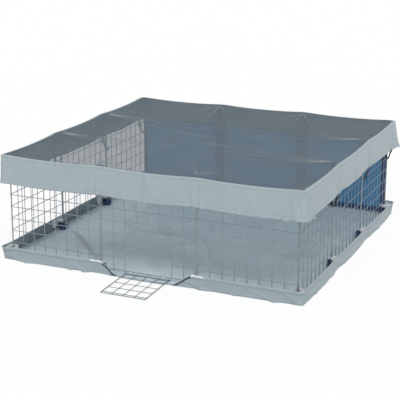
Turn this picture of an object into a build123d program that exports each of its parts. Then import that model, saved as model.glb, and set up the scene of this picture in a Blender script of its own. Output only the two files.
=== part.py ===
from build123d import *
import math
import os

# A square pen of twelve wire-grid panels on a shallow fabric tray, under a cover with a mesh roof.
# Millimetres, +Z up. The origin is the middle of the pen on the ground, +Y runs from the door side to the back.

# Wire panels
cell = 44.0                   # pitch of the square grid
cells = 8                     # squares along each edge of a panel
frame_wire = 3.6              # diameter of the wires along a panel's edges
mesh_wire = 2.4               # diameter of the wires between them
weld_sink = 0.5               # how far crossing wires are welded into each other
wire_end = 0.8                # how far a wire stands past the edge wire that it crosses
panel_gap = 7.5               # between the edge wires of neighbouring panels, centre to centre
panels_per_side = 3

# Doorway and drop-down door
doorway_first = 2             # upright at the doorway's left, counted from the panel's left edge
doorway_last = 6              # upright at its right
doorway_rows = 4              # squares that the doorway is high
door_side_gap = 6.0           # between an edge wire of the door and the doorway's upright beside it
door_overlap = 10.0           # how far the shut door reaches past the doorway's top wire
door_uprights = 5
door_standoff = 5.6           # from the hinge axis to the plane of the door's long wires
door_first_rung = 2.0         # from the hinge axis to the door's hinge-side wire
door_last_rung_gap = 12.0     # between the free edge and the rung before it
door_poke = 1.0               # how far the middle wires stand past the free edge
door_ground_clearance = 0.2
ring_wire = 2.2
ring_clearance = 0.15
ring_inset = 26.0             # from the doorway's side to a hinge ring

# Latch bail over the doorway
bail_wire = 2.0
bail_drop = 15.0              # from the pivot wire to the crossbar
bail_inset = 8.0              # from the doorway's upright to the bail's arm
bail_eye_clearance = 0.25
bail_bend = 4.0
finger_ring_bore = 3.2
finger_ring_inset = 14.0

# Round connectors that hold neighbouring panels together
cap_radius = 18.0
cap_height = 26.0
cap_crown = 10.2              # solid thickness over the ends of the wires
cap_round = 8.0               # rounding of the closed end
slot_clearance = 0.3
pocket_radius = 3.6
pocket_offset = 10.5
pocket_depth = 12.0

# Fabric
strap_thickness = 1.0
strap_gap = 0.7               # between a connector and a strap that passes it
tray_floor_thickness = 0.8
tray_wall_thickness = 1.2
tray_height = 45.0
tray_bulge = 4.0              # how far the tray's walls belly out between two posts
tray_dip_height = 4.0         # the front wall's top edge in the doorway
tray_dip_margin = 8.0         # the low stretch reaches this far past the doorway on each side
tray_dip_ease = 0.08          # how far the slopes beside it bow, as a share of the dip's depth
patch_width = 90.0
patch_low = 11.0
patch_top_gap = 4.0
patch_thickness = 1.0
patch_gap = 0.3               # between a patch and the wall behind it
skirt_thickness = 1.0
skirt_depth = 100.0
skirt_bulge = 3.0             # how far the lower hem bellies out between two posts
roof_thickness = 1.0
roof_rest_gap = 0.4           # between the connectors and the roof
roof_seat_margin = 2.0        # the roof lies flat this far past a connector's flat top
roof_rim_sag = 4.5
roof_centre_sag = 16.0

# Straps and hooks that hold the cover down
strap_width = 16.0
strap_top_gap = 3.0           # between the underside of a top connector and the strap's upper end
strap_tail = 18.0             # length of strap below the skirt's hem
hook_shift = 12.0             # from a post's axis to its hook
hook_wire_row = 5             # grid row that the hooks catch, one higher on the door side
hook_wire = 5.0
hook_bend = 6.0
hook_seat_gap = 0.3
hook_tip = 6.0
hook_shank = 23.0
hook_tilt = 16.0              # degrees
hook_plate = (22.0, 3.0, 12.0)
hook_slot = (17.0, 4.0)

# Blue screens inside the back wall
screen_inset = 0.5            # from a panel's outermost wires to the screen's edges
screen_notch = (20.0, 15.8)   # cut from each lower corner, round the connector there
screen_thickness = 0.8
screen_bottom = 12.0
screen_height = 282.0
screen_gap = 4.6              # between the back wall's edge wires and the screens, for the hooks' tips
binding_width = 16.0
binding_skin = 0.4

# Sizes that follow from these
panel_width = cells * cell
module = panel_width + panel_gap
pen_side = panels_per_side * module
half = pen_side / 2
layer = (mesh_wire - weld_sink) / 2
frame_radius = frame_wire / 2
mesh_radius = mesh_wire / 2
overhang = frame_radius + wire_end
bottom_wire = tray_floor_thickness + cap_crown + slot_clearance + overhang
top_wire = bottom_wire + panel_width
pen_top = top_wire + overhang + slot_clearance + cap_crown
cloth_inner = half + cap_radius + strap_gap + strap_thickness
posts = [-half + module * i for i in range(panels_per_side + 1)]
roof_seat = cap_radius - cap_round + roof_seat_margin
lintel = bottom_wire + doorway_rows * cell
doorway_width = (doorway_last - doorway_first) * cell
door_width = doorway_width - 2 * door_side_gap
door_height = doorway_rows * cell + door_overlap
bail_half_span = doorway_width / 2 - bail_inset
screen_width = panel_width - 2 * screen_inset
screen_top = screen_bottom + screen_height
hinge_y = -half - layer
sides = ["front", "right", "back", "left"]


def on_side(index, shape):
    """Turn a shape made for the front wall to the wall with this index, counted round the pen."""
    return Rot(0, 0, 90 * index) * shape


def upright(x, low, high, diameter):
    """A vertical wire of the inner layer of a panel."""
    return Pos(x, layer, (low + high) / 2) * Cylinder(diameter / 2, high - low)


def rung(z, left, right, diameter):
    """A horizontal wire of the outer layer of a panel."""
    return Pos((left + right) / 2, -layer, z) * Rot(0, 90, 0) * Cylinder(diameter / 2, right - left)


def wire_panel(has_doorway):
    """A welded grid with thicker wires along its edges, centred on X, with its inner side towards +Y."""
    wires = []
    edge = panel_width / 2
    reach = mesh_radius + wire_end
    for i in range(cells + 1):
        x = i * cell - edge
        wire = frame_wire if i in (0, cells) else mesh_wire
        over_doorway = has_doorway and doorway_first < i < doorway_last
        low = lintel - reach if over_doorway else bottom_wire - overhang
        wires.append(upright(x, low, top_wire + overhang, wire))
    for j in range(cells + 1):
        z = bottom_wire + j * cell
        wire = frame_wire if j in (0, cells) else mesh_wire
        if has_doorway and 0 < j < doorway_rows:
            wires.append(rung(z, -edge - overhang, doorway_first * cell - edge + reach, wire))
            wires.append(rung(z, doorway_last * cell - edge - reach, edge + overhang, wire))
        else:
            wires.append(rung(z, -edge - overhang, edge + overhang, wire))
    return Part() + wires


def at_hinge(shape):
    """Lay a door part, made upright about the origin, open on the ground."""
    drop = bottom_wire - door_standoff - 2 * layer - frame_radius - door_ground_clearance
    droop = math.degrees(math.asin(drop / door_height))
    return Pos(0, hinge_y, bottom_wire) * Rot(90 + droop, 0, 0) * shape


def door_grille():
    """The drop-down wire door, hinged on the bottom wire of its panel."""
    long_y = -door_standoff
    cross_y = long_y - 2 * layer
    wires = []
    for i in range(door_uprights):
        x = door_width * (i / (door_uprights - 1) - 0.5)
        outer = i in (0, door_uprights - 1)
        wire = frame_wire if outer else mesh_wire
        high = door_height + frame_radius + (0 if outer else door_poke)
        low = door_first_rung - overhang
        wires.append(Pos(x, long_y, (low + high) / 2) * Cylinder(wire / 2, high - low))
    rungs = [(door_first_rung, frame_wire), (door_height, frame_wire)]
    rungs += [(k * cell, mesh_wire) for k in range(1, doorway_rows)]
    rungs.append((door_height - door_last_rung_gap, mesh_wire))
    for z, wire in rungs:
        length = door_width + frame_wire
        wires.append(Pos(0, cross_y, z) * Rot(0, 90, 0) * Cylinder(wire / 2, length))
    return at_hinge(Part() + wires)


def hinge_rings():
    """Two wire rings, each round the panel's bottom wire and the door's hinge-side wire."""
    wire_y = -door_standoff - 2 * layer
    span = math.hypot(wire_y, door_first_rung)
    bore = (span + frame_wire) / 2 + ring_clearance
    x = doorway_width / 2 - ring_inset
    ring = Rot(0, 90, 0) * Torus(bore + ring_wire / 2, ring_wire / 2)
    rings = []
    for side in (-1, 1):
        rings.append(at_hinge(Pos(side * x, wire_y / 2, door_first_rung / 2) * ring))
    return Compound(rings)


def latch_bail():
    """A wire bail with an eye at each end, hung on the doorway's top wire."""
    eye = mesh_radius + bail_eye_clearance + bail_wire / 2
    arm_top = -eye
    points = [(-bail_half_span, 0, arm_top), (-bail_half_span, 0, -bail_drop)]
    points += [(bail_half_span, 0, -bail_drop), (bail_half_span, 0, arm_top)]
    path = FilletPolyline(*points, radius=bail_bend)
    bail = sweep(Plane(origin=points[0], z_dir=(0, 0, -1)) * Circle(bail_wire / 2), path=path)
    for side in (-1, 1):
        bail += Pos(side * bail_half_span, 0, 0) * Rot(0, 90, 0) * Torus(eye, bail_wire / 2)
    ring = finger_ring_bore + bail_wire / 2
    ring_place = Pos(bail_half_span - finger_ring_inset, 0, -bail_drop - ring)
    bail += ring_place * Rot(90, 0, 0) * Torus(ring, bail_wire / 2)
    return Pos(0, hinge_y, lintel) * bail


def connector():
    """A round moulded cap, closed end up, with crossed slots for the wires and a pocket in each quarter."""
    body = Pos(0, 0, cap_height / 2) * Cylinder(cap_radius, cap_height)
    body = fillet(body.edges().filter_by(GeomType.CIRCLE).sort_by(Axis.Z)[-1], cap_round)
    slot_width = 2 * (layer + frame_radius + slot_clearance)
    slot_depth = cap_height - cap_crown
    for angle in (0, 90):
        body -= Rot(0, 0, angle) * Pos(0, 0, slot_depth / 2) * Box(3 * cap_radius, slot_width, slot_depth)
    for angle in (45, 135, 225, 315):
        pocket = Cylinder(pocket_radius, pocket_depth)
        body -= Rot(0, 0, angle) * Pos(pocket_offset, 0, pocket_depth / 2) * pocket
    return body


def bellied(offset, bulge):
    """The plan line of a fabric wall on the front side: one shallow arc from post to post, or straight."""
    stops = [-offset] + posts[1:-1] + [offset]
    edges = []
    for a, b in zip(stops, stops[1:]):
        if bulge > 0:
            edges.append(ThreePointArc((a, -offset), ((a + b) / 2, -offset - bulge), (b, -offset)))
        else:
            edges.append(Line((a, -offset), (b, -offset)))
    return edges


def band_face(inner, thickness, bulge, z):
    """The plan of a fabric wall of the front side, mitred at both corners."""
    outer = inner + thickness
    edges = bellied(outer, bulge) + bellied(inner, bulge)
    edges += [Line((side * outer, -outer), (side * inner, -inner)) for side in (-1, 1)]
    return Pos(0, 0, z) * make_face(edges)


def doorway_dip(height):
    """A cutter that lowers the front wall to this height in the doorway, with an easy curve on each side."""
    low = doorway_width / 2 + tray_dip_margin
    high = module / 2
    middle = (low + high) / 2
    level = (height + tray_height) / 2
    ease = (tray_height - height) * tray_dip_ease
    edges = [Line((-low, height), (low, height))]
    for side in (-1, 1):
        foot, centre, crest = (side * low, height), (side * middle, level), (side * high, tray_height)
        lower_mid = ((foot[0] + centre[0]) / 2, (foot[1] + centre[1]) / 2 - ease)
        upper_mid = ((centre[0] + crest[0]) / 2, (centre[1] + crest[1]) / 2 + ease)
        edges.append(ThreePointArc(foot, lower_mid, centre))
        edges.append(ThreePointArc(centre, upper_mid, crest))
        edges.append(Line(crest, (crest[0], tray_height + cell)))
    edges.append(Line((-high, tray_height + cell), (high, tray_height + cell)))
    profile = Plane.XZ.offset(half - cell) * make_face(edges)
    return extrude(profile, 2 * cell)


def tray_floor():
    """The groundsheet, out to the foot of the walls on all four sides."""
    outline = []
    for edge in bellied(cloth_inner + tray_wall_thickness, tray_bulge):
        outline += [on_side(k, edge) for k in range(len(sides))]
    return extrude(make_face(outline), tray_floor_thickness)


def tray_wall(index):
    """One wall of the tray, standing on the floor. The front one dips in the doorway."""
    face = band_face(cloth_inner, tray_wall_thickness, tray_bulge, tray_floor_thickness)
    wall = extrude(face, tray_height - tray_floor_thickness)
    if index == 0:
        wall -= doorway_dip(tray_dip_height)
    return on_side(index, wall)


def fastener_patches():
    """Hook-and-loop patches on the inside of the tray's walls, one at each post and two at each corner."""
    inner = cloth_inner - patch_gap - patch_thickness
    high = tray_height - patch_top_gap
    lining = extrude(band_face(inner, patch_thickness, tray_bulge, patch_low), high - patch_low)
    patches = []
    for index in range(len(sides)):
        for post in posts:
            window = Pos(post, -cloth_inner, tray_height / 2) * Box(patch_width, 2 * cell, 2 * tray_height)
            patch = lining & window
            if index == 0:
                patch -= doorway_dip(tray_dip_height - patch_top_gap)
            patches += on_side(index, patch).solids()
    return Compound(patches)


def skirt(index):
    """One hanging side of the cover. Its top is straight and its hem bellies out between the posts."""
    top = pen_top + roof_rest_gap + roof_thickness
    hem_face = band_face(cloth_inner, skirt_thickness, skirt_bulge, top - skirt_depth)
    top_face = band_face(cloth_inner, skirt_thickness, 0, top)
    return on_side(index, loft([hem_face, top_face], ruled=True))


def bay_share(v):
    """How far v lies into the free stretch between two connectors, from 0 over a seat to 1 midway."""
    free = module / 2 - roof_seat
    from_seat = max(0, min(abs(v - post) for post in posts) - roof_seat)
    return math.sin(math.pi / 2 * from_seat / free) ** 2


def middle_share(v):
    """How far v lies towards the middle of the pen, from 0 over the outer connectors to 1."""
    return 1 - min(1, abs(v) / (half - roof_seat)) ** 2


def roof_underside(x, y):
    """A point of the roof's underside, flat over each connector and sagging between them."""
    sag = roof_centre_sag * middle_share(x) * middle_share(y)
    sag += roof_rim_sag * (bay_share(x) * (1 - middle_share(y)) + bay_share(y) * (1 - middle_share(x)))
    return Vector(x, y, pen_top + roof_rest_gap - sag)


def roof_section(y):
    """The roof's cross-section at y: a line over each seat and an arc from one seat to the next."""
    lift = Vector(0, 0, roof_thickness)
    seats = [(-cloth_inner, posts[0] + roof_seat), (posts[-1] - roof_seat, cloth_inner)]
    seats += [(post - roof_seat, post + roof_seat) for post in posts[1:-1]]
    seats.sort()
    edges = []
    for rise in (Vector(0, 0, 0), lift):
        for a, b in seats:
            edges.append(Line(roof_underside(a, y) + rise, roof_underside(b, y) + rise))
        for (_, a), (b, _) in zip(seats, seats[1:]):
            trio = [roof_underside(x, y) + rise for x in (a, (a + b) / 2, b)]
            edges.append(ThreePointArc(*trio))
    for x in (-cloth_inner, cloth_inner):
        foot = roof_underside(x, y)
        edges.append(Line(foot, foot + lift))
    return make_face(edges)


def roof_mesh():
    """The mesh roof, one sheet that rests on the connectors and sags between them and inside the pen."""
    stations = [-cloth_inner, posts[0] + roof_seat]
    for post in posts[1:-1]:
        stations += [post - module / 2, post - roof_seat, post + roof_seat]
    stations += [posts[-1] - module / 2, posts[-1] - roof_seat, cloth_inner]
    return loft([roof_section(y) for y in stations], ruled=True)


def hook_places():
    """Wall index and distance along that wall of every strap and hook, with none at the front corners."""
    for index in range(len(sides)):
        for post in posts:
            if abs(post) < module:
                yield index, post + math.copysign(hook_shift, post)
    yield 1, posts[-1] - hook_shift
    yield 3, posts[0] + hook_shift


def pull_strap(index):
    """A webbing strap sewn to the inside of a skirt, with its tail below the hem except on the door side."""
    top = pen_top - cap_height - strap_top_gap
    low = pen_top + roof_rest_gap + roof_thickness - skirt_depth - strap_tail
    low += cell if index == 0 else 0
    middle = -cloth_inner + strap_thickness / 2
    return Pos(0, middle, (top + low) / 2) * Box(strap_width, strap_thickness, top - low)


def cover_hook(index):
    """A moulded hook with a webbing slot, caught under a wire of the grid and leaning towards its strap."""
    wire = hook_wire / 2
    centre = hook_bend - wire - mesh_radius - hook_seat_gap
    tip_line = Line((0, hook_bend, centre + hook_tip), (0, hook_bend, centre))
    bend = ThreePointArc((0, hook_bend, centre), (0, 0, centre - hook_bend), (0, -hook_bend, centre))
    shank = Line((0, -hook_bend, centre), (0, -hook_bend, centre + hook_shank))
    section = Plane(origin=tip_line @ 0, z_dir=(0, 0, -1)) * Circle(wire)
    hook = sweep(section, path=Wire([tip_line, bend, shank]))
    plate_z = centre + hook_shank + hook_plate[2] / 2 - wire
    plate = Box(*hook_plate) - Box(hook_slot[0], 2 * hook_plate[1], hook_slot[1])
    leaning = Rot(hook_tilt, 0, 0) * (hook + Pos(0, -hook_bend, plate_z) * plate)
    row = hook_wire_row + (1 if index == 0 else 0)
    return Pos(0, -half - layer, bottom_wire + row * cell) * leaning


def screen_place():
    """The middle of the back wall's first screen, as it lies for the front wall."""
    depth = -half + layer + frame_radius + screen_gap + binding_skin + screen_thickness / 2
    return Pos(0, depth, (screen_bottom + screen_top) / 2)


def notched(screen):
    """Cut a screen, or its tape, round the connectors at its lower corners."""
    width, height = screen_notch
    for side in (-1, 1):
        x = side * (screen_width + width) / 2 - side * width
        corner = Pos(x + side * binding_skin, 0, (height - screen_height) / 2 - binding_skin)
        screen -= corner * Box(width + 2 * binding_skin, cell, height)
    return screen


def screen_sheet():
    """A waterproof sheet that hangs inside one panel of the back wall."""
    return screen_place() * notched(Box(screen_width, screen_thickness, screen_height))


def screen_binding():
    """The folded tape round a screen's two sides and foot."""
    depth = screen_thickness + 2 * binding_skin
    tape = Box(screen_width + 2 * binding_skin, depth, screen_height + binding_skin)
    tape = Pos(0, 0, -binding_skin / 2) * tape
    window = Box(screen_width - 2 * binding_width, 2 * depth, screen_height)
    tape -= Pos(0, 0, binding_width) * window
    tape -= Box(screen_width, screen_thickness, screen_height)
    return screen_place() * notched(tape)


def save(name, shape):
    """Write one sub-part."""
    solids = shape.solids()
    export_step(solids[0] if len(solids) == 1 else Compound(solids), os.path.join("parts", name + ".step"))


os.makedirs("parts", exist_ok=True)

# Wire panels, three on each side of the pen
panel_names = [
    ["front_left", "front_door", "front_right"],
    ["right_front", "right_middle", "right_back"],
    ["back_right", "back_middle", "back_left"],
    ["left_back", "left_middle", "left_front"],
]
plain_panel = wire_panel(False)
door_panel = wire_panel(True)
for k, names in enumerate(panel_names):
    for i, name in enumerate(names):
        shape = door_panel if name == "front_door" else plain_panel
        place = Pos((i - (panels_per_side - 1) / 2) * module, -half, 0)
        save(name + "_panel", on_side(k, place * shape))

# Door, its hinge rings and its latch
save("door_grille", door_grille())
save("door_hinge_rings", hinge_rings())
save("latch_bail", latch_bail())

# Connectors at the top and bottom of every post
cap = connector()
number = 0
for k in range(len(sides)):
    for post in posts[:-1]:
        number += 1
        top_cap = Pos(post, -half, pen_top - cap_height) * cap
        bottom_cap = Pos(post, -half, tray_floor_thickness + cap_height) * Rot(180, 0, 0) * cap
        save(f"top_connector_{number:02d}", on_side(k, top_cap))
        save(f"bottom_connector_{number:02d}", on_side(k, bottom_cap))

# Tray
save("tray_floor", tray_floor())
for k, name in enumerate(sides):
    save("tray_wall_" + name, tray_wall(k))
save("fastener_patches", fastener_patches())

# Cover
save("roof_mesh", roof_mesh())
for k, name in enumerate(sides):
    save("skirt_" + name, skirt(k))
save("pull_straps", Compound([on_side(k, Pos(t, 0, 0) * pull_strap(k)) for k, t in hook_places()]))
save("cover_hooks", Compound([on_side(k, Pos(t, 0, 0) * cover_hook(k)) for k, t in hook_places()]))

# Screens of the back wall
sheet = screen_sheet()
binding = screen_binding()
for i, name in enumerate(["right", "middle", "left"]):
    place = Pos((i - (panels_per_side - 1) / 2) * module, 0, 0)
    save("screen_" + name, on_side(2, place * sheet))
    save("screen_binding_" + name, on_side(2, place * binding))
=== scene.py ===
import math

import bpy
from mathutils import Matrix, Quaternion, Vector, noise


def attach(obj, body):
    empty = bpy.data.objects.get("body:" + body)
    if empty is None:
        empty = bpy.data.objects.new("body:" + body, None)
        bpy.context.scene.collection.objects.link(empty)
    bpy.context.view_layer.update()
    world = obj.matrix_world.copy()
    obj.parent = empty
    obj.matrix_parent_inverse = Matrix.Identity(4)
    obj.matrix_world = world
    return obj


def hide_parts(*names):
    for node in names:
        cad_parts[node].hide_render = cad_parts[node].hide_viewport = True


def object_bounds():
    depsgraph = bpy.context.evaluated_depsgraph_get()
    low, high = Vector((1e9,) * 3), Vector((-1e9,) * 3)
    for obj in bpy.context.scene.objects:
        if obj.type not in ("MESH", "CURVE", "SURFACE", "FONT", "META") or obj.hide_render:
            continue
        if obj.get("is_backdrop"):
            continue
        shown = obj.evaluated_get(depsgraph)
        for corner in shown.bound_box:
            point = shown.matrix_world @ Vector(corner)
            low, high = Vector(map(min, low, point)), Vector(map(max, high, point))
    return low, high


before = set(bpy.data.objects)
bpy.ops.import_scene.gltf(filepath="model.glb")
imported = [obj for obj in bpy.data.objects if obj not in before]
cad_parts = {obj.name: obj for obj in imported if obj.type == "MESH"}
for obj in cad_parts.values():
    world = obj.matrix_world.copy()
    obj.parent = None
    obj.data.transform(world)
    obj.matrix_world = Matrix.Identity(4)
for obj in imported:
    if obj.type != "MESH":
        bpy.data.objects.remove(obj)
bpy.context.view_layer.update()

# Studio: the pen stands on a plain white sweep, seen from the front right and a little above,
# under one broad soft lamp and an even white surround.
scene = bpy.context.scene
scene.view_settings.view_transform = "Standard"
bpy.ops.object.select_all(action="DESELECT")
view_from, view_to = Vector((1.6544, -3.9164, 1.3893)), Vector((-0.0412, -0.0019, 0.1297))
view_roll, focal_length = math.radians(0.28), 105.34
sun_way, sun_strength, sun_width = Vector((-0.25, 0.52, -0.92)), 1.9, math.radians(35)
surround_strength, sweep_glow = 0.56, 0.8

bpy.ops.object.camera_add(location=view_from)
camera = bpy.context.object
camera.rotation_mode = "QUATERNION"
aim = view_to - camera.location
camera.rotation_quaternion = aim.to_track_quat("-Z", "Y") @ Quaternion((0, 0, 1), view_roll)
camera.data.sensor_width = 36
camera.data.lens = focal_length
scene.camera = camera

bpy.ops.object.light_add(type="SUN")
lamp = bpy.context.object
lamp.rotation_euler = sun_way.to_track_quat("-Z", "Y").to_euler()
lamp.data.energy = sun_strength
lamp.data.angle = sun_width


def calculate(tree, operation, first, second=0.0):
    """A Math node on two sockets or numbers."""
    node = tree.nodes.new("ShaderNodeMath")
    node.operation = operation
    for socket, value in zip(node.inputs, (first, second)):
        if isinstance(value, (int, float)):
            socket.default_value = value
        else:
            tree.links.new(value, socket)
    return node.outputs[0]


def seen_directly(tree):
    """1 for rays that the viewer, a mirror or a see-through surface sends, 0 for light on a dull surface."""
    path = tree.nodes.new("ShaderNodeLightPath")
    seen = calculate(tree, "MAXIMUM", path.outputs["Is Camera Ray"], path.outputs["Is Glossy Ray"])
    return calculate(tree, "MAXIMUM", seen, path.outputs["Is Transmission Ray"])


world = bpy.data.worlds.new("white surround")
scene.world = world
world.use_nodes = True
tree = world.node_tree
tree.nodes.clear()
lit = tree.nodes.new("ShaderNodeBackground")
lit.inputs["Color"].default_value = (0.97, 0.985, 1.0, 1)
lit.inputs["Strength"].default_value = surround_strength
shown = tree.nodes.new("ShaderNodeBackground")
shown.inputs["Color"].default_value = (1, 1, 1, 1)
blend = tree.nodes.new("ShaderNodeMixShader")
tree.links.new(seen_directly(tree), blend.inputs[0])
tree.links.new(lit.outputs[0], blend.inputs[1])
tree.links.new(shown.outputs[0], blend.inputs[2])
world_out = tree.nodes.new("ShaderNodeOutputWorld")
tree.links.new(blend.outputs[0], world_out.inputs["Surface"])

bpy.ops.mesh.primitive_plane_add(size=30, location=(0, 0, -0.0003))
sweep = bpy.context.object
sweep.name = "studio_floor"
sweep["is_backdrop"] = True
floor_paint = bpy.data.materials.new("white sweep")
floor_paint.use_nodes = True
tree = floor_paint.node_tree
tree.nodes.clear()
dull = tree.nodes.new("ShaderNodeBsdfDiffuse")
dull.inputs["Color"].default_value = (0.93, 0.93, 0.93, 1)
glow = tree.nodes.new("ShaderNodeEmission")
glow.inputs["Color"].default_value = (1, 1, 1, 1)
blend = tree.nodes.new("ShaderNodeMixShader")
tree.links.new(calculate(tree, "MULTIPLY", seen_directly(tree), sweep_glow), blend.inputs[0])
tree.links.new(dull.outputs[0], blend.inputs[1])
tree.links.new(glow.outputs[0], blend.inputs[2])
floor_out = tree.nodes.new("ShaderNodeOutputMaterial")
tree.links.new(blend.outputs[0], floor_out.inputs["Surface"])
sweep.data.materials.append(floor_paint)

# Wire grids: twelve square panels of resistance-welded steel wire, dull zinc plated after welding,
# with the drop-down door of the same wire. The plating clouds in patches and dulls where it is handled.


def node_group(name, inputs, outputs):
    """An empty shader node group with these sockets, and its two end nodes."""
    group = bpy.data.node_groups.new(name, "ShaderNodeTree")
    for label, kind, value in inputs:
        socket = group.interface.new_socket(label, in_out="INPUT", socket_type=kind)
        if value is not None:
            socket.default_value = value
    for label, kind in outputs:
        group.interface.new_socket(label, in_out="OUTPUT", socket_type=kind)
    return group, group.nodes.new("NodeGroupInput"), group.nodes.new("NodeGroupOutput")


def placed(tree, group, **values):
    """This group as a node in a tree, with its sockets set or linked by name."""
    node = tree.nodes.new("ShaderNodeGroup")
    node.node_tree = group
    for label, value in values.items():
        socket = node.inputs[label]
        if isinstance(value, bpy.types.NodeSocket):
            tree.links.new(value, socket)
        else:
            socket.default_value = value
    return node


def new_material(name):
    """A material with one Principled shader."""
    material = bpy.data.materials.new(name)
    material.use_nodes = True
    return material, material.node_tree, material.node_tree.nodes["Principled BSDF"]


cloud, cloud_in, cloud_out = node_group(
    "clouding",
    [("Vector", "NodeSocketVector", None), ("Color", "NodeSocketColor", (1, 1, 1, 1)),
     ("Scale", "NodeSocketFloat", 8.0), ("Amount", "NodeSocketFloat", 0.1)],
    [("Color", "NodeSocketColor"), ("Mask", "NodeSocketFloat")])
texture = cloud.nodes.new("ShaderNodeTexNoise")
texture.inputs["Detail"].default_value = 6
texture.inputs["Roughness"].default_value = 0.62
cloud.links.new(cloud_in.outputs["Vector"], texture.inputs["Vector"])
cloud.links.new(cloud_in.outputs["Scale"], texture.inputs["Scale"])
swing = calculate(cloud, "MULTIPLY", calculate(cloud, "SUBTRACT", texture.outputs["Fac"], 0.5), 4.0)
level = calculate(cloud, "ADD", calculate(cloud, "MULTIPLY", swing, cloud_in.outputs["Amount"]), 1.0)
tint = cloud.nodes.new("ShaderNodeVectorMath")
tint.operation = "SCALE"
cloud.links.new(cloud_in.outputs["Color"], tint.inputs[0])
cloud.links.new(level, tint.inputs["Scale"])
cloud.links.new(tint.outputs["Vector"], cloud_out.inputs["Color"])
cloud.links.new(texture.outputs["Fac"], cloud_out.inputs["Mask"])


def hard_material(name, colour, metallic, roughness, grain, clouding, bump):
    """A metal or moulded plastic: clouded colour, uneven gloss and a fine grain, on Object coordinates."""
    material, tree, shader = new_material(name)
    place = tree.nodes.new("ShaderNodeTexCoord").outputs["Object"]
    tint = placed(tree, cloud, Vector=place, Color=(*colour, 1), Scale=14.0, Amount=clouding)
    tree.links.new(tint.outputs["Color"], shader.inputs["Base Color"])
    shader.inputs["Metallic"].default_value = metallic
    swing = calculate(tree, "MULTIPLY", calculate(tree, "SUBTRACT", tint.outputs["Mask"], 0.5), 0.5)
    tree.links.new(calculate(tree, "ADD", swing, roughness), shader.inputs["Roughness"])
    fine = placed(tree, cloud, Vector=place, Scale=grain)
    relief = tree.nodes.new("ShaderNodeBump")
    relief.inputs["Strength"].default_value = bump
    relief.inputs["Distance"].default_value = 0.0003
    tree.links.new(fine.outputs["Mask"], relief.inputs["Height"])
    tree.links.new(relief.outputs["Normal"], shader.inputs["Normal"])
    return material, shader


def give(material, names):
    """Put a material on CAD nodes."""
    for name in names:
        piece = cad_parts[name]
        piece.data.materials.clear()
        piece.data.materials.append(material)


zinc, _ = hard_material("zinc plated wire", (0.27, 0.315, 0.345), 0.6, 0.42, 420.0, 0.10, 0.25)
panel_names = [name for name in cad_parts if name.endswith("_panel")]
give(zinc, panel_names + ["door_grille", "latch_bail"])

# Hinge rings: two closed rings of bright wire that carry the door on the panel's bottom wire.
# They are the shiniest metal on the pen.
bright, _ = hard_material("bright ring wire", (0.74, 0.75, 0.77), 1.0, 0.2, 300.0, 0.05, 0.1)
give(bright, ["door_hinge_rings"])

# Connectors: round injection-moulded caps of navy plastic, pressed over the corners of the grids
# above and below. The moulded skin is finely grained and scuffs a little paler.
navy, shader = hard_material("navy moulded plastic", (0.030, 0.045, 0.135), 0.0, 0.40, 900.0, 0.12, 0.3)
shader.inputs["Coat Weight"].default_value = 0.15
shader.inputs["Coat Roughness"].default_value = 0.3
give(navy, [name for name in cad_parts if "_connector_" in name])

# Hooks: J-shaped hooks of moulded black plastic that catch the grid under the cover's hem.
# Their skin is smooth and low in gloss.
black, shader = hard_material("black hook plastic", (0.006, 0.006, 0.007), 0.0, 0.42, 700.0, 0.1, 0.15)
shader.inputs["Specular IOR Level"].default_value = 0.3
give(black, ["cover_hooks"])

# Tray: one boxed tray of coated grey canvas. The floor lies on the ground with the creases that it was
# packed with, and the walls stand as high as a hand is wide, dip at the doorway and belly out between posts.
half, module, seat = 0.53925, 0.3595, 0.012
posts = [-half, -half + module, half - module, half]
tray_offset, tray_corner, tray_top, tray_foot = 0.5595, 0.008, 0.045, 0.0008
doorway_half, doorway_lip = 0.096, 0.0043
hem_depth, hem_lift = 0.010, 0.0006
tray_flare = (0.004, 0.009, 0.004, 0.012)
front_folds = ((-0.46, 0.005), (-0.285, 0.009), (-0.225, 0.008), (-0.13, 0.006),
               (0.205, 0.008), (0.33, 0.005), (0.47, 0.006))
fold_width, flare_width = 0.011, 0.035
wall_belly, wall_spread, front_wall_crease, wall_crease, wall_swell = 0.0042, 0.003, 0.0070, 0.0035, 0.0060
floor_crease, fine_floor_crease, floor_swell, long_crease = 0.0105, 0.0040, 0.0040, 0.0090
packed_places, packed_width, packed_height_x, packed_height_y = (-0.28, 0.0, 0.28), 0.006, 0.0022, 0.0018
post_clear, post_ease, hem_gap = 0.028, 0.09, 0.0002
crease_end, crease_reach, crease_slope, crease_foot = -0.17, 0.36, 0.34 / 0.31, (-0.20, -0.50)


def smooth(low, high, value):
    """0 below low, 1 above high, and an S-curve between."""
    share = min(1, max(0, (value - low) / (high - low)))
    return share * share * (3 - 2 * share)


def crumple(x, y, z):
    """Thin soft creases: 1 along a crease's top, 0 away from it."""
    return max(0, 1 - abs(noise.noise(Vector((x, y, z)))) * 6) ** 2


def round_square(offset, corner, turn):
    """A point on a square with round corners, its outward direction, its side and its place along it."""
    turn = min(turn, 3.9999999)
    side = int(turn)
    flat = 2 * (offset - corner)
    run = (turn - side) * (flat + corner * math.pi / 2)
    along = run - (offset - corner)
    bend = max(0, run - flat) / corner
    out = Vector((math.sin(bend), -math.cos(bend), 0))
    point = Vector((min(along, offset - corner), -(offset - corner), 0)) + out * corner
    turned = Quaternion((0, 0, 1), side * math.pi / 2)
    return turned @ point, turned @ out, side, along


def belly(along, reach):
    """How far a wall bellies between its posts, 0 at them and 1 midway."""
    edges = [-reach, posts[1], posts[2], reach]
    for low, high in zip(edges, edges[1:]):
        if low <= along <= high:
            return 1 - ((along - (low + high) / 2) / ((high - low) / 2)) ** 2
    return 0


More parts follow.
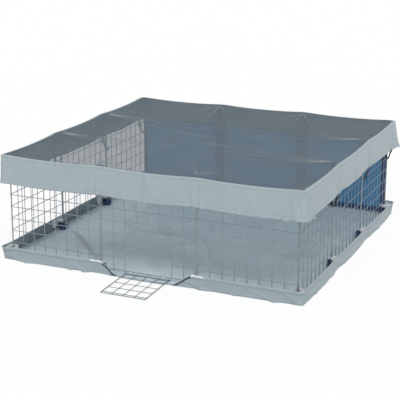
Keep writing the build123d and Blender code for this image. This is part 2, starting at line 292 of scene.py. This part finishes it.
def cloth_grid(name, columns, rows, place, thickness, sided=0):
    """A sheet made from a grid: place gives each point and its pattern coordinates in metres.

    A third coordinate, where place gives one, marks how soiled or shaded, or how creased, the cloth is there.
    """
    bpy.ops.object.select_all(action="DESELECT")
    bpy.ops.mesh.primitive_grid_add(x_subdivisions=columns, y_subdivisions=rows, size=1)
    piece = bpy.context.object
    piece.name = name
    mesh = piece.data
    pattern = []
    for vertex in mesh.vertices:
        point, coordinates = place(vertex.co.x + 0.5, vertex.co.y + 0.5)
        vertex.co = point
        pattern.append(coordinates)
    layer = mesh.uv_layers.active.data
    for face in mesh.polygons:
        for index in face.loop_indices:
            layer[index].uv = pattern[mesh.loops[index].vertex_index][:2]
    if len(pattern[0]) == 3:
        marks = mesh.uv_layers.new(name="marks").data
        for loop in mesh.loops:
            marks[loop.index].uv = (pattern[loop.vertex_index][2], 0)
    bpy.ops.object.mode_set(mode="EDIT")
    bpy.ops.mesh.select_all(action="SELECT")
    bpy.ops.mesh.remove_doubles(threshold=0.00002)
    bpy.ops.object.mode_set(mode="OBJECT")
    if thickness:
        piece.modifiers.new("thickness", "SOLIDIFY").thickness = thickness
        piece.modifiers["thickness"].offset = sided
        bpy.ops.object.modifier_apply(modifier="thickness")
    bpy.ops.object.shade_smooth()
    return piece


def joined(pieces, name, material):
    """These pieces as one object in one material."""
    bpy.ops.object.select_all(action="DESELECT")
    for piece in pieces:
        piece.select_set(True)
    bpy.context.view_layer.objects.active = pieces[0]
    bpy.ops.object.join()
    group = bpy.context.object
    group.name = name
    group.data.materials.clear()
    group.data.materials.append(material)
    return group


weave, weave_in, weave_out = node_group(
    "plain weave",
    [("Vector", "NodeSocketVector", None), ("Pitch", "NodeSocketFloat", 0.001)],
    [("Height", "NodeSocketFloat")])
split = weave.nodes.new("ShaderNodeSeparateXYZ")
weave.links.new(weave_in.outputs["Vector"], split.inputs[0])
threads = []
for axis in ("X", "Y"):
    turns = calculate(weave, "DIVIDE", split.outputs[axis], weave_in.outputs["Pitch"])
    threads.append(calculate(weave, "SINE", calculate(weave, "MULTIPLY", turns, math.pi)))
crossing = calculate(weave, "ABSOLUTE", calculate(weave, "MULTIPLY", *threads))
weave.links.new(crossing, weave_out.inputs["Height"])

stitch, stitch_in, stitch_out = node_group(
    "stitch row",
    [("Along", "NodeSocketFloat", 0.0), ("Across", "NodeSocketFloat", 0.0),
     ("Length", "NodeSocketFloat", 0.004), ("Width", "NodeSocketFloat", 0.0007)],
    [("Thread", "NodeSocketFloat"), ("Groove", "NodeSocketFloat")])
distance = calculate(stitch, "ABSOLUTE", stitch_in.outputs["Across"])
run = calculate(stitch, "DIVIDE", stitch_in.outputs["Along"], stitch_in.outputs["Length"])
shown_part = calculate(stitch, "LESS_THAN", calculate(stitch, "FRACT", run), 0.7)
near = calculate(stitch, "LESS_THAN", distance, stitch_in.outputs["Width"])
stitch.links.new(calculate(stitch, "MULTIPLY", near, shown_part), stitch_out.inputs["Thread"])
fall = calculate(stitch, "DIVIDE", distance, calculate(stitch, "MULTIPLY", stitch_in.outputs["Width"], 4.0))
groove = calculate(stitch, "MAXIMUM", calculate(stitch, "SUBTRACT", 1.0, fall), 0.0)
stitch.links.new(groove, stitch_out.inputs["Groove"])


def cloth_material(name, colour, pitch, roughness, clouding, relief, rows=(), thread=(1, 1, 1), sheen=0.15):
    """Woven or coated cloth on its own pattern coordinates, with rows of stitches.

    A row is (axis, place, centre, reach): axis V runs along the cloth at that height, axis U runs up it
    at that distance from the middle of a side, and it stops reach away from centre on the other axis.
    """
    material, tree, shader = new_material(name)
    base_map = tree.nodes.new("ShaderNodeUVMap")
    base_map.uv_map = "UVMap"
    pattern = base_map.outputs["UV"]
    tint = placed(tree, cloud, Vector=pattern, Color=(*colour, 1), Scale=9.0, Amount=clouding)
    fine = placed(tree, cloud, Vector=pattern, Color=tint.outputs["Color"], Scale=260.0,
                  Amount=clouding * 0.6)
    colour_now = fine.outputs["Color"]
    height = placed(tree, weave, Vector=pattern, Pitch=pitch).outputs["Height"]
    split = tree.nodes.new("ShaderNodeSeparateXYZ")
    tree.links.new(pattern, split.inputs[0])
    across = {"U": calculate(tree, "ABSOLUTE", split.outputs["X"]), "V": split.outputs["Y"]}
    along = {"U": split.outputs["Y"], "V": split.outputs["X"]}
    other = {"U": across["V"], "V": across["U"]}
    for axis, at, centre, reach in rows:
        row = placed(tree, stitch, Along=along[axis], Across=calculate(tree, "SUBTRACT", across[axis], at))
        off = calculate(tree, "ABSOLUTE", calculate(tree, "SUBTRACT", other[axis], centre))
        inside = calculate(tree, "LESS_THAN", off, reach)
        mix = tree.nodes.new("ShaderNodeMix")
        mix.data_type = "RGBA"
        tree.links.new(calculate(tree, "MULTIPLY", row.outputs["Thread"], inside), mix.inputs[0])
        tree.links.new(colour_now, mix.inputs[6])
        mix.inputs[7].default_value = (*thread, 1)
        colour_now = mix.outputs[2]
        groove = calculate(tree, "MULTIPLY", calculate(tree, "MULTIPLY", row.outputs["Groove"], inside), 4.0)
        height = calculate(tree, "SUBTRACT", height, groove)
    tree.links.new(colour_now, shader.inputs["Base Color"])
    uneven = calculate(tree, "MULTIPLY", calculate(tree, "SUBTRACT", tint.outputs["Mask"], 0.5), 0.4)
    tree.links.new(calculate(tree, "ADD", uneven, roughness), shader.inputs["Roughness"])
    shader.inputs["Sheen Weight"].default_value = sheen
    shader.inputs["Sheen Roughness"].default_value = 0.5
    bump = tree.nodes.new("ShaderNodeBump")
    bump.inputs["Strength"].default_value = relief
    bump.inputs["Distance"].default_value = 0.0004
    tree.links.new(height, bump.inputs["Height"])
    tree.links.new(bump.outputs["Normal"], shader.inputs["Normal"])
    return material


def wall_top(side, along):
    """Height of the tray wall's top edge, low in the doorway."""
    if side == 0 and abs(along) < posts[2]:
        return doorway_lip + (tray_top - doorway_lip) * smooth(doorway_half, posts[2], abs(along))
    return tray_top + 0.0012 * noise.noise(Vector((along * 7, side * 3.1, 0.4)))


def wall_out(side, along, share):
    """How far the tray wall stands out of its straight line at a share of its height."""
    slack = belly(along, tray_offset)
    low = (1 - share) ** 2
    out = wall_belly * slack + (wall_spread + wall_spread * slack) * low
    fold = crumple(along * 4.3 + share * 0.5, side * 5.3, share * 0.3)
    out += (front_wall_crease if side == 0 else wall_crease) * fold * (0.25 + 0.75 * low)
    out += wall_swell * max(0, noise.noise(Vector((along * 6 - share * 0.5, side * 6.2, 1.3)))) * low
    out += 0.0012 * slack * noise.noise(Vector((along * 19, side * 2.2, share * 0.8)))
    for centre, swell in front_folds if side == 0 else ():
        fold = math.exp(-((along - centre - 0.02 * share) / fold_width) ** 2)
        out += swell * fold * max(0.0, 1 - share) ** 1.3
    for flare, away in ((tray_flare[side], tray_offset - along), (tray_flare[side - 1], along + tray_offset)):
        out += flare * math.exp(-(away / flare_width) ** 2) * share
    return out


def tray_wall_point(u, v):
    """A point of the tray's wall, round the tray by u and up the wall by v."""
    point, out, side, along = round_square(tray_offset, tray_corner, u * 4)
    top = wall_top(side, along)
    high = tray_foot + (top - tray_foot) * v
    place = point + out * wall_out(side, along, high / tray_top)
    place.z = high
    return place, (along, high)


def tray_hem_point(u, v):
    """A point of the hem that is folded over the wall's top edge."""
    point, out, side, along = round_square(tray_offset, tray_corner, u * 4)
    top = wall_top(side, along) + hem_lift
    high = top - (1 - v) * min(hem_depth, top - 0.0012)
    place = point + out * (wall_out(side, along, high / tray_top) + hem_gap)
    place.z = high
    return place, (along, v * hem_depth)


def tray_floor_point(u, v):
    """A point of the ground sheet, flat under the posts and the wall, with its soil and painted crease shade
    as the third mark.
    """
    x, y = 2 * u - 1, 2 * v - 1
    reach = tray_offset
    edge_x = reach + wall_out(1 if x > 0 else 3, y * reach if x > 0 else -y * reach, 0.02) * abs(x) ** 6
    edge_y = reach + wall_out(0 if y < 0 else 2, x * reach if y < 0 else -x * reach, 0.02) * abs(y) ** 6
    place = Vector((x * edge_x, y * edge_y, 0.0007))
    corner = Vector((abs(place.x) - (reach - tray_corner), abs(place.y) - (reach - tray_corner)))
    if min(corner) > 0 and corner.length > tray_corner + 0.002:
        corner *= (tray_corner + 0.002) / corner.length
        place.x = math.copysign(reach - tray_corner + corner.x, place.x)
        place.y = math.copysign(reach - tray_corner + corner.y, place.y)
    clear = 1
    for a in posts:
        for b in posts:
            if max(abs(a), abs(b)) > 0.5:
                clear = min(clear, smooth(post_clear, post_ease, math.hypot(place.x - a, place.y - b)))
    clear *= smooth(0, 0.02, reach - max(abs(place.x), abs(place.y)) + 0.004)
    soil_and_crease_shade = 0.35 * max(0, noise.noise(Vector((place.x * 2.4, place.y * 5.2, 6.1))))
    rise = floor_crease * crumple(place.x * 2.3, place.y * 2.3, 4.7)
    rise += fine_floor_crease * crumple(place.x * 5.5, place.y * 5.5, 9.1)
    back_run = crease_foot[0] - place.x
    ridge = place.y - crease_foot[1] - crease_slope * back_run - 0.008 * math.sin(back_run * 12)
    if crease_end - crease_reach < place.x < crease_end:
        rise += long_crease * math.exp(-(ridge / 0.010) ** 2)
        # Painted shade: a dark band beside the long crease's ridge.
        soil_and_crease_shade += 1.3 * math.exp(-((ridge + 0.008) / 0.006) ** 2)
    rise += floor_swell * max(0, noise.noise(Vector((place.x * 4, place.y * 4, 3.3))))
    for line in packed_places:
        # The folds that it was packed with, along both ways of the pen.
        rise += packed_height_x * math.exp(-((place.x - line) / packed_width) ** 2)
        rise += packed_height_y * math.exp(-((place.y - line) / packed_width) ** 2)
    place.z += rise * clear
    return place, (place.x, place.y, min(1, soil_and_crease_shade * clear))


side_walls = ("front", "right", "back", "left")
# Stitches round each patch and at the corners, in the form that cloth_material takes.
box_rows = [("V", 0.012, posts[2], 0.041), ("V", 0.040, posts[2], 0.041),
            ("U", posts[2] - 0.040, 0.026, 0.0145), ("U", posts[2] + 0.040, 0.026, 0.0145),
            ("V", 0.012, 0.520, 0.020), ("V", 0.040, 0.520, 0.020), ("U", 0.500, 0.026, 0.0145)]
tray_cloth = cloth_material("coated tray canvas", (0.280, 0.342, 0.368), 0.0009, 0.52, 0.05, 0.35, box_rows,
                            thread=(0.20, 0.25, 0.27))
# Painted light: the ground sheet is the walls' canvas, given a lighter colour that stands for the light
# falling on it from above.
lit_floor_canvas = cloth_material("coated canvas with painted light on the floor", (0.520, 0.640, 0.690), 0.0009, 0.50, 0.07, 0.3)
hem_cloth = cloth_material("tray hem fold", (0.325, 0.395, 0.425), 0.0009, 0.5, 0.06, 0.4,
                           [("V", 0.003, 0, 9)], thread=(0.20, 0.25, 0.27))
# White tape for the patches and loops. The same material goes on the doorway hem's upper rows as painted
# highlight.
white_tape_and_highlight = cloth_material("white hook and loop tape and painted highlight", (0.82, 0.86, 0.89), 0.0012, 0.9, 0.08, 0.9, sheen=0.4)
# Painted shade: a dark tone for the shade under the doorway hem's rolled edge, put on its lower rows.
doorway_hem_shade = cloth_material("painted shade under doorway hem", (0.045, 0.060, 0.070), 0.0008, 0.5, 0.06, 0.5)

tray_floor = cloth_grid("tray_floor_sheet", 190, 190, tray_floor_point, 0.0006, -1)
tray_floor.data.materials.append(lit_floor_canvas)
# Soil and painted shade: the floor's cloth is darker where tray_floor_point marks it, in random patches of
# soil and as painted shade beside the long crease.
tree = lit_floor_canvas.node_tree
shader = tree.nodes["Principled BSDF"]
soil_and_shade_map = tree.nodes.new("ShaderNodeUVMap")
soil_and_shade_map.uv_map = "marks"
soil_and_shade_split = tree.nodes.new("ShaderNodeSeparateXYZ")
tree.links.new(soil_and_shade_map.outputs["UV"], soil_and_shade_split.inputs[0])
soiled_and_shaded = tree.nodes.new("ShaderNodeMix")
soiled_and_shaded.data_type = "RGBA"
tree.links.new(calculate(tree, "MULTIPLY", soil_and_shade_split.outputs["X"], 0.75), soiled_and_shaded.inputs[0])
tree.links.new(shader.inputs["Base Color"].links[0].from_socket, soiled_and_shaded.inputs[6])
soiled_and_shaded.inputs[7].default_value = (0.19, 0.24, 0.26, 1)
tree.links.new(soiled_and_shaded.outputs[2], shader.inputs["Base Color"])
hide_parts("tray_floor")
tray_walls = cloth_grid("tray_wall_sheet", 1240, 12, tray_wall_point, 0.0008, -1)
tray_walls.data.materials.append(tray_cloth)
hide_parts(*["tray_wall_" + side for side in side_walls])
tray_hem = cloth_grid("tray_hem", 1240, 4, tray_hem_point, 0.0020)
tray_hem.data.materials.append(hem_cloth)
tray_hem.data.materials.append(doorway_hem_shade)
tray_hem.data.materials.append(white_tape_and_highlight)
# Doorway slopes of the hem: upper rows near the posts get painted highlight, and lower rows nearer the middle
# get painted shade.
slope_end, highlight_start, highlight_width, shade_drop = 0.215, 0.168, 0.0050, 0.0030
for face in tray_hem.data.polygons:
    away, top = abs(face.center.x), wall_top(0, face.center.x) + hem_lift
    if face.center.y < -0.5 and doorway_half < away < slope_end:
        if away > highlight_start and face.center.z > top - highlight_width:
            face.material_index = 2
        elif away < highlight_start and face.center.z < top - shade_drop:
            face.material_index = 1
for piece in (tray_floor, tray_walls, tray_hem):
    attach(piece, "pen")

# Fastener patches: short pieces of white hook-and-loop tape sewn inside the tray wall at every post,
# where loops round the wires close on them.
patch_half, patch_limit, patch_low, patch_high, patch_plane = 0.045, 0.547, 0.011, 0.041, 0.5579
loop_low, loop_depth = 0.029, 0.013
patches = []
for side in range(4):
    for post in posts:
        low, high = max(post - patch_half, -patch_limit), min(post + patch_half, patch_limit)

        def patch_point(u, v):
            along = low + (high - low) * u
            top = min(patch_high, wall_top(side, along) - 0.004)
            inset = 0.0012 * (1 - smooth(0, 0.06, min(u, 1 - u))) * (2 * v - 1)
            offset = patch_plane + 0.0036 * belly(along, tray_offset)
            place = Vector((along, -offset, patch_low + (top - patch_low) * v - inset))
            return Quaternion((0, 0, 1), side * math.pi / 2) @ place, (along, v * 0.03)

        patches.append(cloth_grid(f"patch_{side}", 24, 8, patch_point, 0.0010))
for side in range(4):
    for post in posts[:-1]:
        at_corner = post == posts[0]
        middle = Vector((-0.5378, -0.5378, 0)) if at_corner else Vector((post, -0.5470, 0))
        wide, deep = (0.0192, 0.0192) if at_corner else (0.0085, 0.0108)

        def loop_point(u, v):
            angle = 2 * math.pi * u
            place = Vector((wide * math.cos(angle), deep * math.sin(angle), loop_low + loop_depth * v))
            return Quaternion((0, 0, 1), side * math.pi / 2) @ (middle + place), (u * 0.06, loop_depth * v)

        patches.append(cloth_grid(f"loop_{side}", 32, 4, loop_point, 0.0008))
patch_group = joined(patches, "fastener_tapes", white_tape_and_highlight)
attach(patch_group, "pen")
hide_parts("fastener_patches")

# Roof: one sheet of fine dark polyester net. It rests on the top connectors, which push it into low tents,
# sags between them and over the middle, and keeps thin tight creases that run out from each connector.
cover_offset, cover_corner, roof_level = 0.5594, 0.005, 0.37975
cover_depth, turnover = 0.0985, 0.008
crease_width, crease_height, crease_run_in = 0.0048, 0.0042, 0.04
middle_sag, bay_sag, rim_sag = 0.018, 0.0040, 0.0014


def bay(value):
    """0 over a connector, 1 midway to the next, with a steep start so that each connector makes a tent."""
    off = max(0, min(abs(abs(value) - post) for post in posts[2:]) - seat)
    share = min(1, off / (module / 2 - seat))
    return 1 - (1 - share) ** 2.2


def inward(value):
    """1 in the middle of the roof and 0 over the outer connectors."""
    return 1 - min(1, abs(value) / (half - seat)) ** 2


def roof_height(x, y):
    """Height of the net over a point of the pen."""
    beyond_x = min(1, max(0, abs(x) - half) / (cover_offset - half))
    beyond_y = min(1, max(0, abs(y) - half) / (cover_offset - half))
    sag = middle_sag * inward(x) * inward(y)
    sag += bay_sag * (bay(x) * (1 - inward(y)) + bay(y) * (1 - inward(x)))
    sag += rim_sag * (bay(x) * beyond_y + bay(y) * beyond_x)
    return roof_level - sag


creases = []
for side in range(4):
    for post in posts[:-1]:
        start = Quaternion((0, 0, 1), side * math.pi / 2) @ Vector((post, -half, 0))
        across = side % 2 == 1
        for number, angle in enumerate((-15, -4, 3, 12) if across else (-24, 6, 27)):
            length = 0.62 if across else 0.24
            length += length * 0.8 * noise.noise(Vector((side * 3.3, post * 4, number * 1.7)))
            way = Quaternion((0, 0, 1), side * math.pi / 2 + math.radians(angle + 30 * (post < -0.5)))
            creases.append((start, way @ Vector((0, 1, 0)), length))


def roof_point(u, v):
    """A point of the net with its creases, and how sharply it is creased there as the third mark."""
    x, y = (2 * u - 1) * cover_offset, (2 * v - 1) * cover_offset
    rim = cover_offset - cover_corner
    corner = Vector((abs(x) - rim, abs(y) - rim))
    if min(corner) > 0 and corner.length > cover_corner:
        corner *= cover_corner / corner.length
        x, y = math.copysign(rim + corner.x, x), math.copysign(rim + corner.y, y)
    place = Vector((x, y, roof_height(x, y)))
    rise = 0
    if max(abs(x), abs(y)) < half - seat:
        for start, way, length in creases:
            gap = place - start
            run = gap.x * way.x + gap.y * way.y
            if 0 < run < length:
                off = gap.x * way.y - gap.y * way.x
                if abs(off) < 0.02:
                    fade = (1 - run / length) ** 0.7 * min(1, run / crease_run_in)
                    rise += math.exp(-(off / crease_width) ** 2) * fade
        place.z += crease_height * min(rise, 1.2) + 0.0016 * noise.noise(Vector((x * 6, y * 6, 2.2)))
    return place, (x, y, min(rise, 1))


roof = cloth_grid("roof_net", 200, 200, roof_point, 0.0004)
net, tree, shader = new_material("dark roof net")
base_map = tree.nodes.new("ShaderNodeUVMap")
base_map.uv_map = roof.data.uv_layers[0].name
pattern = base_map.outputs["UV"]
crease_map = tree.nodes.new("ShaderNodeUVMap")
crease_map.uv_map = "marks"
crease_split = tree.nodes.new("ShaderNodeSeparateXYZ")
tree.links.new(crease_map.outputs["UV"], crease_split.inputs[0])
crease = calculate(tree, "POWER", crease_split.outputs["X"], 1.6)
split = tree.nodes.new("ShaderNodeSeparateXYZ")
tree.links.new(pattern, split.inputs[0])
net_pitch = 0.0018
strands = []
for axis in ("X", "Y"):
    wave = calculate(tree, "SINE", calculate(tree, "MULTIPLY", split.outputs[axis], 2 * math.pi / net_pitch))
    lifted = calculate(tree, "ADD", calculate(tree, "MULTIPLY", wave, 0.5), 0.5)
    strands.append(calculate(tree, "POWER", lifted, 4.0))
strand = calculate(tree, "MAXIMUM", *strands)
cover = calculate(tree, "ADD", calculate(tree, "MULTIPLY", strand, 0.42), 0.14)
# Painted shade: the net is drawn more opaque to the viewer than to the light, which darkens what shows
# through it.
cover = calculate(tree, "ADD", cover, calculate(tree, "MULTIPLY", seen_directly(tree), 0.20))
cover = calculate(tree, "ADD", cover, calculate(tree, "MULTIPLY", crease, 0.26))
tree.links.new(calculate(tree, "MINIMUM", cover, 1.0), shader.inputs["Alpha"])
tint = placed(tree, cloud, Vector=pattern, Color=(0.086, 0.122, 0.146, 1), Scale=6.0, Amount=0.12)
# Painted highlight: the creases are drawn paler, as if they catch the light. Their extra cover above is the
# doubled net.
crease_highlight = tree.nodes.new("ShaderNodeMix")
crease_highlight.data_type = "RGBA"
tree.links.new(calculate(tree, "MULTIPLY", crease, 0.8), crease_highlight.inputs[0])
tree.links.new(tint.outputs["Color"], crease_highlight.inputs[6])
crease_highlight.inputs[7].default_value = (0.28, 0.29, 0.29, 1)
tree.links.new(crease_highlight.outputs[2], shader.inputs["Base Color"])
shader.inputs["Roughness"].default_value = 0.62
shader.inputs["Sheen Weight"].default_value = 0.05
bump = tree.nodes.new("ShaderNodeBump")
bump.inputs["Strength"].default_value = 0.4
bump.inputs["Distance"].default_value = 0.0002
tree.links.new(strand, bump.inputs["Height"])
tree.links.new(bump.outputs["Normal"], shader.inputs["Normal"])
roof.data.materials.append(net)
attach(roof, "cover")
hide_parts("roof_mesh")

# Skirts: a hand-deep band of pale coated canvas sewn round the roof, turned over the net's edge at the top
# and hemmed below. It puckers where the straps are sewn in, bellies between them and flares at the corners.
hook_shift = 0.012
strap_places = [(side, post + math.copysign(hook_shift, post)) for side in range(4) for post in posts[1:3]]
strap_places += [(1, half - hook_shift), (3, hook_shift - half)]
corner_flare = (0.007, 0.019, 0.008, 0.006)
skirt_belly, skirt_fold, skirt_crease, fine_skirt_crease = 0.0034, 0.0062, 0.0022, 0.0012
pucker_pitch, pucker_width, pucker_height = 0.028, 0.030, 0.0030
ripple_height, pleat, side_seam = 0.0028, 0.0110, 0.0011


def skirt_out(side, along, drop):
    """How far the skirt hangs out of its straight line at a share of its depth."""
    out = skirt_belly * belly(along, cover_offset) * drop
    for index, centre in strap_places:
        off = along - centre
        if index == side and abs(off) < 0.08:
            pucker = 1 - math.cos(off * 2 * math.pi / pucker_pitch)
            out += pucker_height * math.exp(-(off / pucker_width) ** 2) * pucker * (0.25 + 0.75 * drop)
    ends = ((corner_flare[side], cover_offset - along), (corner_flare[side - 1], along + cover_offset))
    for flare, away in ends:
        out += flare * math.exp(-(away / 0.055) ** 2) * drop ** 1.3
        ripple = 1 + math.sin(away * 170 + drop * 4)
        out += ripple_height * math.exp(-(away / 0.07) ** 2) * ripple * drop * (away > 0.006)
    fold = noise.noise(Vector((along * 9 + drop * 0.3, side * 4.1, drop * 0.2)))
    out += skirt_fold * max(0, fold) * (0.15 + 0.85 * drop)
    out += skirt_crease * crumple(along * 7 - drop * 0.45, side * 2.7, drop * 0.15) * (0.4 + 0.6 * drop)
    out += fine_skirt_crease * crumple(along * 24 + drop * 0.5, side * 1.7, drop * 0.3)
    if side == 0:
        out += pleat * math.exp(-((cover_offset - along - 0.012 - 0.046 * drop) / pleat) ** 2)
    if side == 1:
        out += pleat * math.exp(-((cover_offset + along - 0.012 - 0.038 * drop) / pleat) ** 2)
    out += side_seam * math.exp(-(along / 0.006) ** 2)
    return out


def skirt_point(u, v):
    """A point of the skirt, round the cover by u, and up it and over the net's edge by v."""
    point, out, side, along = round_square(cover_offset, cover_corner, u * 4)
    length = (cover_depth + turnover) * v
    rim = roof_height(point.x, point.y) + 0.0007
    if length > cover_depth:
        place = point - out * (length - cover_depth)
        place.z = roof_height(place.x, place.y) + 0.0009
        return place, (along, length)
    drop = 1 - length / cover_depth
    hem = 0.0007 * smooth(0.0145, 0.0135, length)
    roll = 0.0010 * math.exp(-((drop - 0.02) / 0.02) ** 2)
    place = point + out * (0.0002 + skirt_out(side, along, drop) + hem + roll)
    place.z = rim - cover_depth * drop + 0.002 * drop * noise.noise(Vector((along * 8, side * 1.9, 7)))
    return place, (along, length)


skirt_rows = [("V", 0.0135, 0, 9), ("V", 0.0925, 0, 9), ("V", 0.1040, 0, 9), ("U", 0.004, 0.05, 0.042)]
skirt_cloth = cloth_material("pale cover canvas", (0.330, 0.398, 0.424), 0.0009, 0.55, 0.05, 0.35, skirt_rows,
                             thread=(0.21, 0.26, 0.28))
skirts = cloth_grid("cover_skirt", 1240, 26, skirt_point, 0.0007)
skirts.data.materials.append(skirt_cloth)
# Painted shade: the skirt's inward faces get a darker canvas colour that stands for the shade inside the
# cover.
skirt_inner_shade = cloth_material("skirt inner face with painted shade", (0.215, 0.262, 0.290), 0.0009, 0.8, 0.06, 0.5,
                        skirt_rows[:2], thread=(0.16, 0.20, 0.22))
skirts.data.materials.append(skirt_inner_shade)
for face in skirts.data.polygons:
    if face.normal.x * face.center.x + face.normal.y * face.center.y < -0.1:
        face.material_index = 1
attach(skirts, "cover")
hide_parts(*["skirt_" + side for side in side_walls])

# Straps: short lengths of dark webbing sewn inside the skirt, each ending at the slot of its hook.
# The front ones end one grid square higher, as their hooks do.
webbing = cloth_material("grey webbing", (0.045, 0.050, 0.058), 0.0011, 0.75, 0.08, 0.9,
                         [("U", 0.0062, 0.3, 1)], thread=(0.09, 0.10, 0.11), sheen=0.1)
strap_width, strap_top, strap_low, front_strap_low, strap_plane = 0.016, 0.350, 0.2624, 0.3064, 0.55845
straps = []
for side, centre in strap_places:
    def strap_point(u, v):
        low = front_strap_low if side == 0 else strap_low
        across, high = (u - 0.5) * strap_width, low + (strap_top - low) * v
        place = Vector((centre + across, -strap_plane, high))
        return Quaternion((0, 0, 1), side * math.pi / 2) @ place, (across, high)

    straps.append(cloth_grid(f"strap_{side}", 8, 30, strap_point, 0.0010))
strap_group = joined(straps, "webbing_straps", webbing)
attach(strap_group, "cover")
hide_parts("pull_straps")

# Screens: three sheets of bright blue coated nylon that hang inside the back wall, each with navy tape
# folded over its two sides and its foot and sewn down.
screen_half, screen_low, screen_high, screen_plane = 0.1755, 0.012, 0.294, 0.5310
notch_width, notch_height = 0.020, 0.0158
notch_x, notch_z = screen_half - notch_width, screen_low + notch_height
screen_sway, screen_crease = 0.0045, 0.0022
tape_fold, tape_cover, tape_thickness, tape_edge, tape_gap = 0.016, 0.0156, 0.0017, 0.0004, 0.0040
plain_columns, notch_columns, plain_rows, notch_rows = 30, 4, 50, 4
columns, rows = 2 * (plain_columns + notch_columns), plain_rows + notch_rows
blue = cloth_material("blue coated nylon", (0.052, 0.250, 0.480), 0.0006, 0.42, 0.07, 0.25)
tape = cloth_material("navy folded tape", (0.012, 0.045, 0.160), 0.0010, 0.7, 0.08, 0.7,
                      [("V", 0.0130, 0, 9)], thread=(0.06, 0.12, 0.26))
for name, centre in (("right", module), ("middle", 0.0), ("left", -module)):
    def screen_place(x, z):
        slack = smooth(0, 0.05, screen_half - abs(x))
        wave = 0.5 + 0.5 * noise.noise(Vector(((x + centre) * 9, 3.3, z * 5)))
        lean = screen_sway * wave * (0.35 + 0.65 * slack)
        lean += screen_crease * crumple((x + centre) * 5, 8.8, z * 5) * slack
        return Vector((centre + x, screen_plane - lean, z))

    def sheet_point(u, v):
        column, row = round(u * columns) - columns // 2, round(v * rows)
        x = column / plain_columns * notch_x
        if abs(column) > plain_columns:
            x = math.copysign(notch_x + (abs(column) - plain_columns) / notch_columns * notch_width, column)
        z = screen_low + row / notch_rows * notch_height
        if row > notch_rows:
            z = notch_z + (row - notch_rows) / plain_rows * (screen_high - notch_z)
        return screen_place(x, z), (x + centre, z)

    def tape_point(u, v):
        reach = screen_half + (tape_edge if name == tape_side else tape_gap)
        x = reach - (reach - screen_half + tape_cover) * v
        z = notch_z + (screen_high - notch_z) * u
        return screen_place(-x if tape_side == "left" else x, z), (z, tape_fold * v)

    def foot_point(u, v):
        x, z = (u - 0.5) * 2 * notch_x, screen_low - tape_edge + (tape_fold + 0.0002) * v
        return screen_place(x, z), (x, tape_fold * v)

    screen = cloth_grid(f"blue_screen_{name}", columns, rows, sheet_point, 0)
    bpy.ops.object.mode_set(mode="EDIT")
    bpy.ops.mesh.select_mode(type="FACE")
    bpy.ops.mesh.select_all(action="DESELECT")
    bpy.ops.object.mode_set(mode="OBJECT")
    for face in screen.data.polygons:
        face.select = abs(face.center.x - centre) > notch_x and face.center.z < notch_z
    bpy.ops.object.mode_set(mode="EDIT")
    bpy.ops.mesh.delete(type="FACE")
    bpy.ops.object.mode_set(mode="OBJECT")
    screen.modifiers.new("thickness", "SOLIDIFY").thickness = 0.0007
    screen.modifiers["thickness"].offset = 0
    bpy.ops.object.modifier_apply(modifier="thickness")
    screen.data.materials.append(blue)
    tapes = []
    for tape_side in ("left", "right"):
        tapes.append(cloth_grid("tape", rows, 5, tape_point, tape_thickness))
    tapes.append(cloth_grid("tape", 2 * plain_columns, 5, foot_point, tape_thickness))
    edge = joined(tapes, f"screen_tape_{name}", tape)
    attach(screen, "pen")
    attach(edge, "pen")
    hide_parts("screen_" + name)
    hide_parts("screen_binding_" + name)

low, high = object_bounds()
